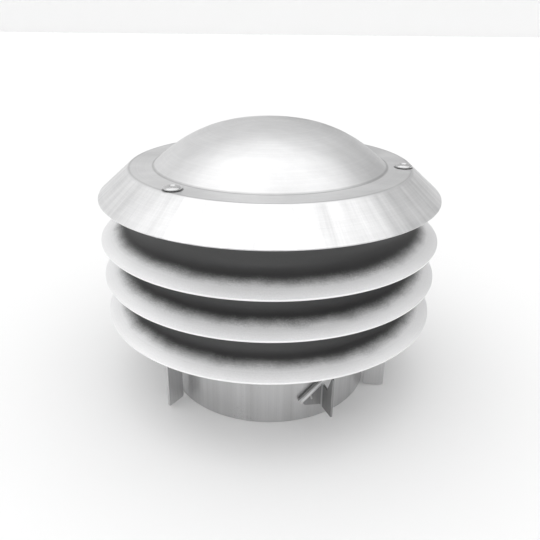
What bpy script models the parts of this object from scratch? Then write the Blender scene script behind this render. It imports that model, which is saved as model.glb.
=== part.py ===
"""Louvred vent cowl for the roof end of a round exhaust pipe.

A spun cap stands on three upright legs. The legs carry three flared louvre
rings one under another, and they are riveted to the collar that slips on the
pipe. The origin is on the cowl's axis at the collar's bottom edge. +Z runs up
the axis and -Y is the front. Turns are in degrees from +X towards +Y.
"""

import math

import bmesh
import bpy
from mathutils import Matrix, Vector

# Facets of a full turn
ROUND_STEPS = 72
RIVET_STEPS = 12
HOLE_STEPS = 12

# Clearance between pieces that touch, and round a rivet in its hole
SEAT_GAP = 0.0003
HOLE_GAP = 0.0003

# Collar
COLLAR_RADIUS = 0.0500
COLLAR_HEIGHT = 0.0500
COLLAR_SHEET = 0.0010

# Legs: an upright web in a plane that passes beside the axis, with ears
LEG_SHEET = 0.0010
LEG_OFFSET = 0.0159
LEG_STANDOFF = 0.0020
LEG_DEPTH = 0.0093
LEG_FOOT_HEIGHT = 0.0006
LEG_HEADINGS = {"right": -4.9, "rear": 115.1, "left": 235.1}
EAR_LENGTH = 0.0088
EAR_HEIGHT = 0.0060
EAR_STEPS = 2
FOOT_EAR_HEIGHT = 0.0090
FOOT_EAR_LEVEL = 0.0320
CAP_TAB_REACH = 0.0123
CAP_TAB_RADIUS = 0.0034
CAP_TAB_STEPS = 6

# Louvre rings: a wide flare that turns up into an upright neck
RING_SHEET = 0.0010
FLARE_WIDTH = 0.0151
FLARE_SLOPE = 22.0
THROAT_RADIUS = 0.0060
THROAT_STEPS = 3
NECK_RISE = 0.0154
LOWER_RIM_HEIGHT = 0.0419
LOWER_PITCH = 0.0187
UPPER_PITCH = 0.0171
CAP_PITCH = 0.0189

# Cap: dome, flat shoulder and a sloping skirt
CAP_SHEET = 0.0010
CAP_RIM_INSET = 0.0006
SKIRT_WIDTH = 0.0138
SKIRT_DROP = 0.0120
SHOULDER_WIDTH = 0.0110
DOME_RISE = 0.0189
DOME_FULLNESS = 2.55
DOME_STEPS = 7
CAP_RIVET_INSET = 0.0039

# Rivets: a domed head with the hollow that a pulled pin leaves in it
CAP_SHANK_RADIUS = 0.0019
CAP_HEAD_RADIUS = 0.0037
CAP_HEAD_RISE = 0.0014
SMALL_SHANK_RADIUS = 0.0014
SMALL_HEAD_RADIUS = 0.0026
SMALL_HEAD_RISE = 0.0010
HEAD_STEPS = 2
PIN_HOLE_SHARE = 0.42
PIN_HOLE_DEPTH = 0.0007
TAIL_FLARE = 0.0007
TAIL_LENGTH = 0.0016

# Bracket on the collar: a flange with a hemmed slanting edge, and a fin
BRACKET_HEADING = -67.4
BRACKET_SHEET = 0.0010
BRACKET_FOOT_HEIGHT = 0.0070
FOLD_SIDE = 0.0056
FLANGE_WIDTH = 0.0095
FLANGE_LIFT = 0.0019
FLANGE_CORNER = 0.0016
HEM_WIDTH = 0.0015
HEM_THICKNESS = 0.0026
HEM_TAIL = 0.0034
HEM_SLOPE = 39.0
HEM_TOP_RISE = 0.0150
FIN_NOTCH_RISE = 0.0112
FIN_INNER_RISE = 0.0124
FIN_HORN_RISE = 0.0198
FIN_HORN_WIDTH = 0.0010
LANCE_WIDTH = 0.0007
LANCE_HEIGHT = 0.0028
LANCE_RISE = 0.0007
LANCE_SIDE = -0.0004
LANCE_LIFT = 0.0060
LANCE_TILT = 17.0

# Worked out from the sizes above
COLLAR_SEAT = COLLAR_RADIUS + SEAT_GAP
LEG_OUTER = COLLAR_RADIUS + LEG_STANDOFF + LEG_DEPTH
NECK_INNER = LEG_OUTER + LEG_SHEET / 2 + SEAT_GAP
NECK_RADIUS = NECK_INNER + RING_SHEET
RIM_RADIUS = NECK_RADIUS + FLARE_WIDTH
CAP_RIM_RADIUS = RIM_RADIUS - CAP_RIM_INSET
SHOULDER_RADIUS = CAP_RIM_RADIUS - SKIRT_WIDTH
DOME_RADIUS = SHOULDER_RADIUS - SHOULDER_WIDTH
MIDDLE_RIM_HEIGHT = LOWER_RIM_HEIGHT + LOWER_PITCH
UPPER_RIM_HEIGHT = MIDDLE_RIM_HEIGHT + UPPER_PITCH
CAP_RIM_HEIGHT = UPPER_RIM_HEIGHT + CAP_PITCH
SHOULDER_HEIGHT = CAP_RIM_HEIGHT + SKIRT_DROP
RIM_HEIGHTS = {
    "lower": LOWER_RIM_HEIGHT,
    "middle": MIDDLE_RIM_HEIGHT,
    "upper": UPPER_RIM_HEIGHT,
}
EAR_OUTER = NECK_INNER - SEAT_GAP
EAR_LEVEL = NECK_RISE - EAR_HEIGHT / 2
LEG_TOP = SHOULDER_HEIGHT - CAP_SHEET - SEAT_GAP
FLANGE_OUTER = COLLAR_SEAT + BRACKET_SHEET
FLANGE_START = FOLD_SIDE - FLANGE_WIDTH


# ---------------------------------------------------------------- outlines

def round_corner(before, corner, after, radius, steps):
    """Points of the arc that rounds one corner of a path."""
    to_before = (before - corner).normalized()
    to_after = (after - corner).normalized()
    half_angle = to_before.angle(to_after) / 2
    start = corner + to_before * (radius / math.tan(half_angle))
    end = corner + to_after * (radius / math.tan(half_angle))
    centre = corner + (to_before + to_after).normalized() * (radius / math.sin(half_angle))
    first = start - centre
    last = end - centre
    sweep = math.atan2(first.x * last.y - first.y * last.x, first.dot(last))
    points = []
    for index in range(steps + 1):
        turned = Matrix.Rotation(sweep * index / steps, 2) @ first
        points.append(centre + turned)
    return points


def right_side(start, end):
    """Unit vector that points to the right of the way from start to end."""
    along = (end - start).normalized()
    return Vector((along.y, -along.x))


def offset_path(path, distance):
    """The path moved to its right by distance, with mitred corners."""
    sides = [right_side(start, end) for start, end in zip(path, path[1:])]
    before = [sides[0]] + sides
    after = sides + [sides[-1]]
    moved = []
    for point, first, second in zip(path, before, after):
        mitre = (first + second).normalized()
        moved.append(point + mitre * (distance / mitre.dot(first)))
    return moved


def arc_points(centre, radius, start, end, steps):
    """Points of a flat arc, its turns in degrees."""
    points = []
    for index in range(steps + 1):
        turn = math.radians(start + (end - start) * index / steps)
        points.append(centre + radius * Vector((math.cos(turn), math.sin(turn))))
    return points


# ------------------------------------------------------------ solid shapes

def add_spun(shape, points, closed, steps):
    """Add the body turned about Z from (radius, height) points."""
    corners = [shape.verts.new((point[0], 0.0, point[1])) for point in points]
    pairs = list(zip(corners, corners[1:]))
    if closed:
        pairs.append((corners[-1], corners[0]))
    edges = [shape.edges.new(pair) for pair in pairs]
    bmesh.ops.spin(
        shape,
        geom=corners + edges,
        axis=(0.0, 0.0, 1.0),
        cent=(0.0, 0.0, 0.0),
        steps=steps,
        angle=math.tau,
        use_merge=True,
    )
    bmesh.ops.remove_doubles(shape, verts=shape.verts, dist=1e-6)
    bmesh.ops.recalc_face_normals(shape, faces=shape.faces)


def add_prism(shape, outline, low, high):
    """Add a closed prism from a flat XY outline, between two heights."""
    corners = [shape.verts.new((point[0], point[1], low)) for point in outline]
    base = shape.faces.new(corners)
    raised = bmesh.ops.extrude_face_region(shape, geom=[base])
    moved = [item for item in raised["geom"] if isinstance(item, bmesh.types.BMVert)]
    bmesh.ops.translate(shape, verts=moved, vec=(0.0, 0.0, high - low))
    bmesh.ops.recalc_face_normals(shape, faces=shape.faces)
    return corners + moved


def add_curved_plate(shape, inner, outer, start, end, low, high, steps):
    """Add a plate bent round the axis, its turns in degrees."""
    centre = Vector((0.0, 0.0))
    outline = arc_points(centre, outer, start, end, steps)
    outline += reversed(arc_points(centre, inner, start, end, steps))
    add_prism(shape, outline, low, high)


def make_object(name, shape):
    """Turn a finished bmesh into a named object in the scene."""
    mesh = bpy.data.meshes.new(name)
    shape.to_mesh(mesh)
    shape.free()
    item = bpy.data.objects.new(name, mesh)
    bpy.context.scene.collection.objects.link(item)
    return item


def combine(base, tool, operation):
    """Apply one exact Boolean to base, then remove the tool."""
    step = base.modifiers.new(operation, "BOOLEAN")
    step.operation = operation
    step.solver = "EXACT"
    step.object = tool
    graph = bpy.context.evaluated_depsgraph_get()
    solid = bpy.data.meshes.new_from_object(base.evaluated_get(graph))
    base.modifiers.clear()
    base.data = solid
    bpy.data.objects.remove(tool)


def finish_object(item, material, sharp_turn=35.0):
    """Shade a piece smooth between its sharp edges and give it its material."""
    item.data.materials.clear()
    item.data.materials.append(material)
    item.data.shade_smooth()
    item.data.set_sharp_from_angle(angle=math.radians(sharp_turn))
    return item


def copy_object(name, source):
    """Another object with the same mesh."""
    item = bpy.data.objects.new(name, source.data)
    bpy.context.scene.collection.objects.link(item)
    return item


def sheet_metal(name, shade, roughness):
    """Bare aluminium of one shade."""
    material = bpy.data.materials.new(name)
    material.use_nodes = True
    surface = material.node_tree.nodes["Principled BSDF"]
    surface.inputs["Base Color"].default_value = (shade, shade, shade * 1.01, 1.0)
    surface.inputs["Metallic"].default_value = 1.0
    surface.inputs["Roughness"].default_value = roughness
    return material


# ------------------------------------------------------ places on the legs

def along_web(radius):
    """How far along its web, from the point nearest the axis, a radius lies."""
    return math.sqrt(radius ** 2 - LEG_OFFSET ** 2)


def web_turn(radius):
    """Turn in degrees, from the leg's heading, of the web at a radius."""
    return -math.degrees(math.asin(LEG_OFFSET / radius))


def arc_turn(length, radius):
    """Turn in degrees that a length makes at a radius."""
    return math.degrees(length / radius)


def cap_rivet_place():
    """The cap rivet's centre in the leg's own frame."""
    side = CAP_TAB_REACH - LEG_OFFSET
    radius = SHOULDER_RADIUS - CAP_RIVET_INSET
    return Vector((math.sqrt(radius ** 2 - side ** 2), side))


def neck_rivet_turn():
    """Turn of a ring rivet, from the leg's heading."""
    return web_turn(LEG_OUTER) + arc_turn(EAR_LENGTH * 0.55, EAR_OUTER)


def foot_rivet_turn():
    """Turn of a collar rivet, from the leg's heading."""
    return web_turn(COLLAR_SEAT + LEG_SHEET) + arc_turn(EAR_LENGTH * 0.55, COLLAR_SEAT)


# ------------------------------------------------------------------ pieces

def add_hole_tool(shape, radius, length, place):
    """Add a cylinder to cut a rivet hole with; place turns +Z to its axis."""
    bmesh.ops.create_cone(
        shape,
        cap_ends=True,
        segments=HOLE_STEPS,
        radius1=radius,
        radius2=radius,
        depth=length,
        matrix=place,
    )


def facing(turn, radius, height):
    """Placement whose +Z points away from the axis at a turn."""
    spin = Matrix.Rotation(math.radians(turn), 4, "Z")
    tilt = Matrix.Rotation(math.radians(90.0), 4, "Y")
    return Matrix.Translation((0.0, 0.0, height)) @ spin @ Matrix.Translation((radius, 0.0, 0.0)) @ tilt


def cap_path():
    """The cap's outer face from the crown to the rim."""
    path = []
    for index in range(DOME_STEPS + 1):
        share = index / DOME_STEPS
        height = SHOULDER_HEIGHT + DOME_RISE * (1.0 - share ** DOME_FULLNESS)
        path.append(Vector((DOME_RADIUS * share, height)))
    path.append(Vector((SHOULDER_RADIUS, SHOULDER_HEIGHT)))
    path.append(Vector((CAP_RIM_RADIUS, CAP_RIM_HEIGHT)))
    return path


def build_cap(material):
    """The spun cap with its three rivet holes."""
    outer = cap_path()
    inner = offset_path(outer, CAP_SHEET)
    inner[0] = Vector((0.0, outer[0].y - CAP_SHEET))
    shape = bmesh.new()
    add_spun(shape, outer + inner[::-1], False, ROUND_STEPS)
    cap = make_object("cap_shell", shape)
    holes = bmesh.new()
    place = cap_rivet_place()
    for heading in LEG_HEADINGS.values():
        turn = Matrix.Rotation(math.radians(heading), 4, "Z")
        spot = turn @ Matrix.Translation((place.x, place.y, SHOULDER_HEIGHT))
        add_hole_tool(holes, CAP_SHANK_RADIUS + HOLE_GAP, 6 * CAP_SHEET, spot)
    combine(cap, make_object("cap_holes", holes), "DIFFERENCE")
    return finish_object(cap, material, 12.0)


def ring_path():
    """A louvre ring's upper face from the neck's top edge to the rim."""
    corner_height = FLARE_WIDTH * math.tan(math.radians(FLARE_SLOPE))
    top = Vector((NECK_RADIUS, NECK_RISE))
    corner = Vector((NECK_RADIUS, corner_height))
    rim = Vector((RIM_RADIUS, 0.0))
    return [top] + round_corner(top, corner, rim, THROAT_RADIUS, THROAT_STEPS) + [rim]


def build_rings(material):
    """The three louvre rings, one mesh between them."""
    outer = ring_path()
    inner = offset_path(outer, RING_SHEET)
    inner[0].y = outer[0].y
    shape = bmesh.new()
    add_spun(shape, outer + inner[::-1], True, ROUND_STEPS)
    first = make_object("louvre_ring_lower", shape)
    holes = bmesh.new()
    for heading in LEG_HEADINGS.values():
        spot = facing(heading + neck_rivet_turn(), NECK_RADIUS, EAR_LEVEL)
        add_hole_tool(holes, SMALL_SHANK_RADIUS + HOLE_GAP, 6 * RING_SHEET, spot)
    combine(first, make_object("ring_holes", holes), "DIFFERENCE")
    finish_object(first, material)
    for level, height in RIM_HEIGHTS.items():
        name = "louvre_ring_" + level
        ring = first if name == first.name else copy_object(name, first)
        ring.location.z = height


def bracket_frame():
    """The bracket's own frame: X away from the axis, Y along the flange."""
    return Matrix.Rotation(math.radians(BRACKET_HEADING), 4, "Z")


def lance_frame():
    """Middle of the tongue that the collar pushes out through the flange."""
    side = Matrix.Translation((COLLAR_RADIUS, LANCE_SIDE, BRACKET_FOOT_HEIGHT + LANCE_LIFT))
    return bracket_frame() @ side @ Matrix.Rotation(math.radians(LANCE_TILT), 4, "X")


def add_lance(shape, clearance, low, high):
    """Add the tongue's block, grown by a clearance, between two depths."""
    sides = ((-0.5, -0.5), (0.5, -0.5), (0.5, 0.5), (-0.5, 0.5))
    outline = []
    for across, up in sides:
        width = across * (LANCE_WIDTH + 2 * clearance)
        height = up * (LANCE_HEIGHT + 2 * clearance)
        outline.append((width, height))
    moved = add_prism(shape, outline, low, high)
    upright = Matrix(((0, 0, 1, 0), (1, 0, 0, 0), (0, 1, 0, 0), (0, 0, 0, 1)))
    bmesh.ops.transform(shape, matrix=lance_frame() @ upright, verts=moved)


def build_collar(material):
    """The collar with its rivet holes and the tongue that holds the bracket."""
    inner = COLLAR_RADIUS - COLLAR_SHEET
    points = [(COLLAR_RADIUS, COLLAR_HEIGHT), (COLLAR_RADIUS, 0.0), (inner, 0.0), (inner, COLLAR_HEIGHT)]
    shape = bmesh.new()
    add_spun(shape, points, True, ROUND_STEPS)
    collar = make_object("collar", shape)
    tongue = bmesh.new()
    reach = SEAT_GAP + BRACKET_SHEET + LANCE_RISE
    add_lance(tongue, 0.0, -COLLAR_SHEET / 2, reach)
    combine(collar, make_object("tongue", tongue), "UNION")
    holes = bmesh.new()
    for heading in LEG_HEADINGS.values():
        spot = facing(heading + foot_rivet_turn(), COLLAR_RADIUS, FOOT_EAR_LEVEL)
        add_hole_tool(holes, SMALL_SHANK_RADIUS + HOLE_GAP, 6 * COLLAR_SHEET, spot)
    combine(collar, make_object("collar_holes", holes), "DIFFERENCE")
    return finish_object(collar, material)


def add_web(shape):
    """The leg's upright web."""
    side = -LEG_OFFSET
    half = LEG_SHEET / 2
    inner = along_web(COLLAR_RADIUS + LEG_STANDOFF)
    outer = along_web(LEG_OUTER)
    outline = [(inner, side - half), (outer, side - half), (outer, side + half), (inner, side + half)]
    add_prism(shape, outline, LEG_FOOT_HEIGHT, LEG_TOP)


def add_leg_ears(shape):
    """The ears that lie on the ring necks and on the collar, and the cap tab."""
    start = web_turn(LEG_OUTER)
    end = start + arc_turn(EAR_LENGTH, EAR_OUTER)
    for height in RIM_HEIGHTS.values():
        low = height + EAR_LEVEL - EAR_HEIGHT / 2
        high = low + EAR_HEIGHT
        add_curved_plate(shape, EAR_OUTER - LEG_SHEET, EAR_OUTER, start, end, low, high, EAR_STEPS)
    start = web_turn(COLLAR_SEAT + LEG_SHEET)
    end = start + arc_turn(EAR_LENGTH, COLLAR_SEAT)
    low = FOOT_EAR_LEVEL - FOOT_EAR_HEIGHT / 2
    high = low + FOOT_EAR_HEIGHT
    add_curved_plate(shape, COLLAR_SEAT, COLLAR_SEAT + LEG_SHEET, start, end, low, high, EAR_STEPS)


def add_foot_step(shape):
    """The piece of web between its inner edge and the foot ear."""
    side = -LEG_OFFSET
    half = LEG_SHEET / 2
    inner = along_web(COLLAR_SEAT + LEG_SHEET / 2)
    outer = along_web(COLLAR_RADIUS + LEG_STANDOFF) + LEG_SHEET
    outline = [(inner, side - half), (outer, side - half), (outer, side + half), (inner, side + half)]
    low = FOOT_EAR_LEVEL - FOOT_EAR_HEIGHT / 2
    add_prism(shape, outline, low, low + FOOT_EAR_HEIGHT)


def add_cap_tab(shape):
    """The tab that is bent over under the cap's shoulder."""
    rivet = cap_rivet_place()
    side = -LEG_OFFSET - LEG_SHEET / 2
    inner = along_web(COLLAR_RADIUS + LEG_STANDOFF)
    outer = along_web(LEG_OUTER)
    outline = [Vector((inner, side)), Vector((outer, side))]
    outline += arc_points(rivet, CAP_TAB_RADIUS, -30.0, 180.0, CAP_TAB_STEPS)
    add_prism(shape, outline, LEG_TOP - LEG_SHEET, LEG_TOP)


def build_legs(material):
    """The three legs, one mesh between them."""
    web = bmesh.new()
    add_web(web)
    first = make_object("leg_right", web)
    for add_part in (add_foot_step, add_leg_ears, add_cap_tab):
        tool = bmesh.new()
        add_part(tool)
        combine(first, make_object("leg_part", tool), "UNION")
    holes = bmesh.new()
    rivet = cap_rivet_place()
    spot = Matrix.Translation((rivet.x, rivet.y, LEG_TOP))
    add_hole_tool(holes, CAP_SHANK_RADIUS + HOLE_GAP, 6 * LEG_SHEET, spot)
    for height in RIM_HEIGHTS.values():
        spot = facing(neck_rivet_turn(), EAR_OUTER, height + EAR_LEVEL)
        add_hole_tool(holes, SMALL_SHANK_RADIUS + HOLE_GAP, 6 * LEG_SHEET, spot)
    spot = facing(foot_rivet_turn(), COLLAR_SEAT, FOOT_EAR_LEVEL)
    add_hole_tool(holes, SMALL_SHANK_RADIUS + HOLE_GAP, 6 * LEG_SHEET, spot)
    combine(first, make_object("leg_holes", holes), "DIFFERENCE")
    finish_object(first, material)
    for side, heading in LEG_HEADINGS.items():
        name = "leg_" + side
        leg = first if name == first.name else copy_object(name, first)
        leg.rotation_euler.z = math.radians(heading)


def rivet_path(shank, head, rise, grip):
    """A set rivet from its pin hole round to the end of its tail.

    Height 0 is the outer face of the sheets that it holds.
    """
    seat = SEAT_GAP
    floor = seat + rise - PIN_HOLE_DEPTH
    path = [Vector((0.0, floor)), Vector((PIN_HOLE_SHARE * head, floor))]
    crown = math.asin(PIN_HOLE_SHARE)
    for index in range(HEAD_STEPS + 1):
        lean = crown + (math.pi / 2 - crown) * index / HEAD_STEPS
        path.append(Vector((head * math.sin(lean), seat + rise * (0.25 + 0.75 * math.cos(lean)))))
    path.append(Vector((head, seat)))
    path.append(Vector((shank, seat)))
    path.append(Vector((shank, -grip - seat)))
    path.append(Vector((shank + TAIL_FLARE, -grip - seat - TAIL_LENGTH / 3)))
    path.append(Vector((shank, -grip - seat - TAIL_LENGTH)))
    path.append(Vector((0.0, -grip - seat - TAIL_LENGTH)))
    return path


def build_rivet_mesh(shank, head, rise, grip, material):
    """One rivet standing on Z."""
    shape = bmesh.new()
    add_spun(shape, rivet_path(shank, head, rise, grip), False, RIVET_STEPS)
    rivet = make_object("rivet", shape)
    finish_object(rivet, material)
    return rivet


def build_rivets(material):
    """The rivets of the cap, of the rings and of the collar."""
    grip = CAP_SHEET + SEAT_GAP + LEG_SHEET
    cap_rivet = build_rivet_mesh(CAP_SHANK_RADIUS, CAP_HEAD_RADIUS, CAP_HEAD_RISE, grip, material)
    grip = RING_SHEET + SEAT_GAP + LEG_SHEET
    ring_rivet = build_rivet_mesh(SMALL_SHANK_RADIUS, SMALL_HEAD_RADIUS, SMALL_HEAD_RISE, grip, material)
    grip = COLLAR_SHEET + SEAT_GAP + LEG_SHEET
    foot_rivet = build_rivet_mesh(SMALL_SHANK_RADIUS, SMALL_HEAD_RADIUS, SMALL_HEAD_RISE, grip, material)
    place = cap_rivet_place()
    foot_face = COLLAR_SEAT + LEG_SHEET
    for side, heading in LEG_HEADINGS.items():
        turn = Matrix.Rotation(math.radians(heading), 4, "Z")
        rivet = copy_object("cap_rivet_" + side, cap_rivet)
        rivet.matrix_world = turn @ Matrix.Translation((place.x, place.y, SHOULDER_HEIGHT))
        rivet = copy_object("collar_rivet_" + side, foot_rivet)
        rivet.matrix_world = facing(heading + foot_rivet_turn(), foot_face, FOOT_EAR_LEVEL)
        for level, height in RIM_HEIGHTS.items():
            rivet = copy_object("ring_rivet_" + side + "_" + level, ring_rivet)
            rivet.matrix_world = facing(heading + neck_rivet_turn(), NECK_RADIUS, height + EAR_LEVEL)
    for source in (cap_rivet, ring_rivet, foot_rivet):
        bpy.data.objects.remove(source)


def flange_outline():
    """The bracket's flange in its own plane, as (side, height) points."""
    foot = BRACKET_FOOT_HEIGHT
    slope = math.tan(math.radians(HEM_SLOPE))
    start = Vector((FLANGE_START, foot + FLANGE_LIFT))
    hem_top = Vector((FOLD_SIDE, foot + HEM_TOP_RISE))
    hem_start = Vector((FLANGE_START, hem_top.y - FLANGE_WIDTH * slope))
    fold = Vector((FOLD_SIDE, foot))
    corner = round_corner(hem_start, start, fold, FLANGE_CORNER, 3)
    return corner + [fold, hem_top, hem_start]


def hem_outline():
    """The folded band along the flange's slanting edge."""
    slope = math.radians(HEM_SLOPE)
    along = Vector((math.cos(slope), math.sin(slope)))
    across = Vector((-along.y, along.x))
    top = Vector((FOLD_SIDE, BRACKET_FOOT_HEIGHT + HEM_TOP_RISE))
    low = top - along * (FLANGE_WIDTH / math.cos(slope) + HEM_TAIL)
    return [low - across * HEM_WIDTH, top - across * HEM_WIDTH, top, low]


def fin_outline():
    """The bracket's fin in its own plane, as (reach, height) points."""
    foot = BRACKET_FOOT_HEIGHT
    middle = (COLLAR_SEAT + LEG_OUTER) / 2
    return [
        Vector((COLLAR_SEAT, foot)),
        Vector((LEG_OUTER, foot)),
        Vector((LEG_OUTER, foot + FIN_HORN_RISE)),
        Vector((LEG_OUTER - FIN_HORN_WIDTH, foot + FIN_HORN_RISE)),
        Vector((middle, foot + FIN_NOTCH_RISE)),
        Vector((COLLAR_SEAT, foot + FIN_INNER_RISE)),
    ]


def upright_plate(name, outline, low, high, axes):
    """A plate whose outline's X and Y and whose thickness lie along given axes."""
    shape = bmesh.new()
    add_prism(shape, outline, low, high)
    turn = Matrix([list(axis) + [0.0] for axis in zip(*axes)] + [[0.0, 0.0, 0.0, 1.0]])
    bmesh.ops.transform(shape, matrix=turn, verts=shape.verts)
    bmesh.ops.recalc_face_normals(shape, faces=shape.faces)
    return make_object(name, shape)


def build_bracket(material):
    """The bracket that the collar's tongue holds."""
    out, side, up = (1.0, 0.0, 0.0), (0.0, 1.0, 0.0), (0.0, 0.0, 1.0)
    bracket = upright_plate("collar_bracket", flange_outline(), COLLAR_SEAT, FLANGE_OUTER, (side, up, out))
    hem = upright_plate("hem", hem_outline(), COLLAR_SEAT, COLLAR_SEAT + HEM_THICKNESS, (side, up, out))
    combine(bracket, hem, "UNION")
    back = tuple(-value for value in side)
    fin = upright_plate("fin", fin_outline(), -FOLD_SIDE, BRACKET_SHEET - FOLD_SIDE, (out, up, back))
    combine(bracket, fin, "UNION")
    bracket.matrix_world = bracket_frame()
    slot = bmesh.new()
    add_lance(slot, SEAT_GAP, -BRACKET_SHEET, 3 * BRACKET_SHEET)
    bpy.context.view_layer.update()
    combine(bracket, make_object("slot", slot), "DIFFERENCE")
    return finish_object(bracket, material)


def build_cowl():
    """Build every piece of the cowl in its place."""
    build_cap(sheet_metal("cap_metal", 0.78, 0.34))
    build_rings(sheet_metal("ring_metal", 0.80, 0.40))
    build_collar(sheet_metal("collar_metal", 0.74, 0.36))
    build_legs(sheet_metal("leg_metal", 0.70, 0.42))
    build_rivets(sheet_metal("rivet_metal", 0.82, 0.28))
    build_bracket(sheet_metal("bracket_metal", 0.68, 0.42))


for leftover in list(bpy.data.objects):
    bpy.data.objects.remove(leftover)
build_cowl()
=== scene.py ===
"""Finished look of a louvred sheet-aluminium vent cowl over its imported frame.

Lengths are in metres and turns in degrees from +X towards +Y. The cowl's axis
is Z, its collar's bottom edge is at height 0 and its front is -Y.
"""

import logging
import math
from dataclasses import dataclass
from enum import Enum
from typing import Sequence

import bmesh
import bpy
from mathutils import Matrix, Vector


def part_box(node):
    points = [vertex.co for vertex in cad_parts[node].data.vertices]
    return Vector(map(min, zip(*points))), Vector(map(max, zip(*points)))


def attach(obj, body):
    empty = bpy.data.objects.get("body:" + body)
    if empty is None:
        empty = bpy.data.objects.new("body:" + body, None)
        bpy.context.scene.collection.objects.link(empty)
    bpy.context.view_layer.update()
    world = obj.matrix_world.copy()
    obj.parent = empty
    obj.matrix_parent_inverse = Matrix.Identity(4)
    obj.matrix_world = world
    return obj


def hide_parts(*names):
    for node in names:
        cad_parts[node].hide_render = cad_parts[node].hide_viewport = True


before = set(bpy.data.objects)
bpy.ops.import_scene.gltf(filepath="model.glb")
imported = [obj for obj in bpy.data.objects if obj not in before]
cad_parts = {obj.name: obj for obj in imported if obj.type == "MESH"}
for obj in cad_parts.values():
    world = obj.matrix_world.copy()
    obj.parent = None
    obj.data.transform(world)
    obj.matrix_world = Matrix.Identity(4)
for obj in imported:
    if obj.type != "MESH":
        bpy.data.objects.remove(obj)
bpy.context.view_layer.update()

log = logging.getLogger("vent_cowl")

FULL_TURN_STEPS = 180
RIVET_STEPS = 40
FLOOR_GAP = 0.0002
BLACK = (0.0, 0.0, 0.0)
METAL_TINT = (1.0, 1.0, 1.005)


# ------------------------------------------------------------ shader writing

class Value:
    """A shader socket that can be used in Python arithmetic."""

    def __init__(self, graph: "Graph", socket: bpy.types.NodeSocket) -> None:
        """Keep the graph and the output socket."""
        self.graph = graph
        self.socket = socket

    def _math(self, operation: str, *values: "Value | float") -> "Value":
        """Add one Math node over the given values."""
        return self.graph.add("ShaderNodeMath", {"operation": operation}, dict(enumerate(values)))

    def __add__(self, other: "Value | float") -> "Value":
        """Sum."""
        return self._math("ADD", self, other)

    __radd__ = __add__

    def __sub__(self, other: "Value | float") -> "Value":
        """Difference."""
        return self._math("SUBTRACT", self, other)

    def __rsub__(self, other: "Value | float") -> "Value":
        """Difference with the value on the right."""
        return self._math("SUBTRACT", other, self)

    def __mul__(self, other: "Value | float") -> "Value":
        """Product."""
        return self._math("MULTIPLY", self, other)

    __rmul__ = __mul__

    def __truediv__(self, other: "Value | float") -> "Value":
        """Quotient."""
        return self._math("DIVIDE", self, other)

    def __pow__(self, other: "Value | float") -> "Value":
        """Power."""
        return self._math("POWER", self, other)

    def clamped(self) -> "Value":
        """The value held between 0 and 1."""
        return self.graph.add("ShaderNodeClamp", {}, {"Value": self})

    def near(self, centre: float, width: float) -> "Value":
        """1 at a number, falling smoothly to 0 at a distance of width."""
        return self._math("ABSOLUTE", self - centre).band(width, 0.0)

    def band(self, low: float, high: float) -> "Value":
        """A smooth step from 0 at low to 1 at high, whichever of them is greater."""
        settings = {"interpolation_type": "SMOOTHSTEP"}
        ends = (0.0, 1.0) if low < high else (1.0, 0.0)
        values = {"Value": self, "From Min": min(low, high), "From Max": max(low, high)}
        values |= {"To Min": ends[0], "To Max": ends[1]}
        return self.graph.add("ShaderNodeMapRange", settings, values)


class Graph:
    """One material's nodes, written as expressions."""

    def __init__(self, material: bpy.types.Material) -> None:
        """Empty the material's tree and give it a Principled surface.

        Args:
            material: The material to write.
        """
        material.use_nodes = True
        self.tree = material.node_tree
        self.tree.nodes.clear()
        self.surface = self.tree.nodes.new("ShaderNodeBsdfPrincipled")
        output = self.tree.nodes.new("ShaderNodeOutputMaterial")
        self.tree.links.new(self.surface.outputs["BSDF"], output.inputs["Surface"])

    def add(self, kind: str, settings: dict, sockets: dict, output: int | str = 0) -> Value:
        """Add a node.

        Args:
            kind: The node's type.
            settings: Its own settings, set first.
            sockets: Values or links of its input sockets, by name or number.
            output: The output socket to return.

        Returns:
            The chosen output, ready for arithmetic.
        """
        node = self.tree.nodes.new(kind)
        for name, setting in settings.items():
            setattr(node, name, setting)
        for name, value in sockets.items():
            self.feed(node.inputs[name], value)
        return Value(self, node.outputs[output])

    def feed(self, socket: bpy.types.NodeSocket, value: "Value | float | Sequence[float]") -> None:
        """Link a value to a socket, or set a plain number on it."""
        if isinstance(value, Value):
            self.tree.links.new(value.socket, socket)
        else:
            socket.default_value = value

    def place(self) -> Value:
        """The point's Object coordinates."""
        return self.add("ShaderNodeTexCoord", {}, {}, "Object")

    def parts(self, vector: Value) -> tuple[Value, Value, Value]:
        """A vector's X, Y and Z."""
        first = self.add("ShaderNodeSeparateXYZ", {}, {0: vector})
        outputs = first.socket.node.outputs
        return first, Value(self, outputs[1]), Value(self, outputs[2])

    def joined(self, x: "Value | float", y: "Value | float", z: "Value | float") -> Value:
        """A vector from three numbers."""
        return self.add("ShaderNodeCombineXYZ", {}, {0: x, 1: y, 2: z})

    def noise(self, vector: Value, scale: float, detail: float = 2.0, rough: float = 0.5) -> Value:
        """Soft noise between 0 and 1."""
        values = {"Vector": vector, "Scale": scale, "Detail": detail, "Roughness": rough}
        return self.add("ShaderNodeTexNoise", {}, values)

    def blend(self, factor: "Value | float", first: Sequence[float], second: Sequence[float]) -> Value:
        """A colour between two colours."""
        settings = {"data_type": "RGBA"}
        values = {0: factor, 6: (*first, 1.0), 7: (*second, 1.0)}
        return self.add("ShaderNodeMix", settings, values, 2)

    def bump(self, height: Value, strength: float, distance: float) -> Value:
        """A bumped normal."""
        values = {"Height": height, "Strength": strength, "Distance": distance}
        return self.add("ShaderNodeBump", {}, values)


# ------------------------------------------------------------------ finishes

class Working(Enum):
    """How a sheet was worked, which sets the way its fine lines run."""

    LATHE = "rings about the axis"
    ROLLED = "straight upright lines"


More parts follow.
